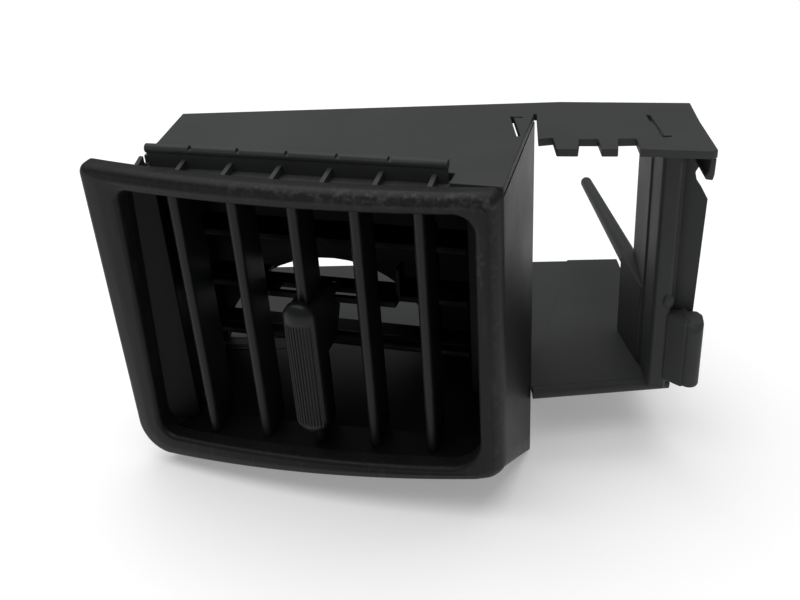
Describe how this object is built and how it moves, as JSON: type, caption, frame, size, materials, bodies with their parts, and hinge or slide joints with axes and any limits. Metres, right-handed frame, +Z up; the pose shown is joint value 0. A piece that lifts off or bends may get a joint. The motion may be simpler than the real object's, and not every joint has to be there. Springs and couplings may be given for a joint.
{
  "type": "car dashboard air vent",
  "caption": "Face-level car dashboard air vent with upright front vanes, level rear vanes worked by a thumb knob, an arched hose inlet and a switch pocket moulded at its right side.",
  "frame": {"origin": "centre of the bounding box at the height of the lowest point, the foot of the skirt", "axes": "+Z up; +X to the right as seen by someone facing the mouth; +Y to the back, towards the hose. The vent itself is turned 14 degrees about Z, so it blows towards -Y and a little to -X."},
  "size_m": [0.1492, 0.1135, 0.0918],
  "materials": {
    "bezel_plastic": "fine-grained satin moulding",
    "shell_plastic": "matt charcoal moulding",
    "inner_plastic": "near-black moulding",
    "vane_plastic": "satin moulding",
    "knob_plastic": "satin moulding with fine grooves",
    "brake_rubber": "matt"
  },
  "bodies": {
    "housing": {"front_bezel": "bezel_plastic", "side_cheek": "bezel_plastic", "under_skirt": "bezel_plastic", "top_plate": "shell_plastic", "top_rail": "shell_plastic", "lower_tray": "shell_plastic", "duct_left_wall": "inner_plastic", "duct_right_wall": "inner_plastic", "duct_back_wall": "inner_plastic", "duct_floor": "inner_plastic", "pocket_end_wall": "shell_plastic", "hook_lip": "shell_plastic", "outer_rail": "shell_plastic", "retaining_lug": "shell_plastic", "locating_peg": "shell_plastic", "upper_pivot_strip": "inner_plastic", "lower_pivot_strip": "inner_plastic", "rear_bearing_left": "inner_plastic", "rear_bearing_right": "inner_plastic"},
    "front_vane_1": {"front_vane_1": "vane_plastic"},
    "front_vane_2": {"front_vane_2": "vane_plastic"},
    "front_vane_3": {"front_vane_3": "vane_plastic"},
    "front_vane_4": {"front_vane_4": "vane_plastic"},
    "front_vane_5": {"front_vane_5": "vane_plastic"},
    "front_link": {"front_link_bar": "inner_plastic"},
    "knob": {"thumb_knob": "knob_plastic", "knob_fork": "knob_plastic", "knob_brake_pad": "brake_rubber"},
    "rear_vane_1": {"rear_vane_1": "inner_plastic"},
    "rear_vane_2": {"rear_vane_2": "inner_plastic"},
    "rear_vane_3": {"rear_vane_3": "inner_plastic"},
    "rear_link": {"rear_link_bar": "inner_plastic"}
  },
  "joints": [
    {"name": "front_vane_3_turn", "type": "hinge", "parent": "housing", "child": "front_vane_3", "pos_m": [-0.02251, -0.03761, 0.048], "axis": [0, 0, 1], "range_deg": [-30, 30]},
    {"name": "front_vane_1_turn", "type": "hinge", "parent": "housing", "child": "front_vane_1", "pos_m": [-0.05181, -0.0303, 0.048], "axis": [0, 0, 1], "range_deg": [-30, 30]},
    {"name": "front_vane_2_turn", "type": "hinge", "parent": "housing", "child": "front_vane_2", "pos_m": [-0.03716, -0.03396, 0.048], "axis": [0, 0, 1], "range_deg": [-30, 30]},
    {"name": "front_vane_4_turn", "type": "hinge", "parent": "housing", "child": "front_vane_4", "pos_m": [-0.00786, -0.04126, 0.048], "axis": [0, 0, 1], "range_deg": [-30, 30]},
    {"name": "front_vane_5_turn", "type": "hinge", "parent": "housing", "child": "front_vane_5", "pos_m": [0.00679, -0.04492, 0.048], "axis": [0, 0, 1], "range_deg": [-30, 30]},
    {"name": "front_link_turn", "type": "hinge", "parent": "front_vane_3", "child": "front_link", "pos_m": [-0.02067, -0.03024, 0.0797], "axis": [0, 0, 1], "range_deg": [-30, 30]},
    {"name": "knob_slide", "type": "slide", "parent": "front_vane_3", "child": "knob", "axis": [0, 0, 1], "range_m": [-0.0032, 0.0032]},
    {"name": "rear_vane_1_tilt", "type": "hinge", "parent": "housing", "child": "rear_vane_1", "pos_m": [-0.01937, -0.02087, 0.0632], "axis": [0.9703, -0.2419, 0], "range_deg": [-30, 30]},
    {"name": "rear_vane_2_tilt", "type": "hinge", "parent": "housing", "child": "rear_vane_2", "pos_m": [-0.01937, -0.02087, 0.0485], "axis": [0.9703, -0.2419, 0], "range_deg": [-30, 30]},
    {"name": "rear_vane_3_tilt", "type": "hinge", "parent": "housing", "child": "rear_vane_3", "pos_m": [-0.01937, -0.02087, 0.0337], "axis": [0.9703, -0.2419, 0], "range_deg": [-30, 30]},
    {"name": "rear_link_turn", "type": "hinge", "parent": "rear_vane_2", "child": "rear_link", "pos_m": [0.00813, -0.02217, 0.0485], "axis": [0.9703, -0.2419, 0], "range_deg": [-30, 30]}
  ],
  "couplings": [
    {"joint": "front_vane_1_turn", "follows": "front_vane_3_turn", "ratio": 1},
    {"joint": "front_vane_2_turn", "follows": "front_vane_3_turn", "ratio": 1},
    {"joint": "front_vane_4_turn", "follows": "front_vane_3_turn", "ratio": 1},
    {"joint": "front_vane_5_turn", "follows": "front_vane_3_turn", "ratio": 1},
    {"joint": "front_link_turn", "follows": "front_vane_3_turn", "ratio": -1},
    {"joint": "rear_vane_1_tilt", "follows": "knob_slide", "rad_per_m": -163.6},
    {"joint": "rear_vane_2_tilt", "follows": "knob_slide", "rad_per_m": -163.6},
    {"joint": "rear_vane_3_tilt", "follows": "knob_slide", "rad_per_m": -163.6},
    {"joint": "rear_link_turn", "follows": "knob_slide", "rad_per_m": 163.6}
  ]
}
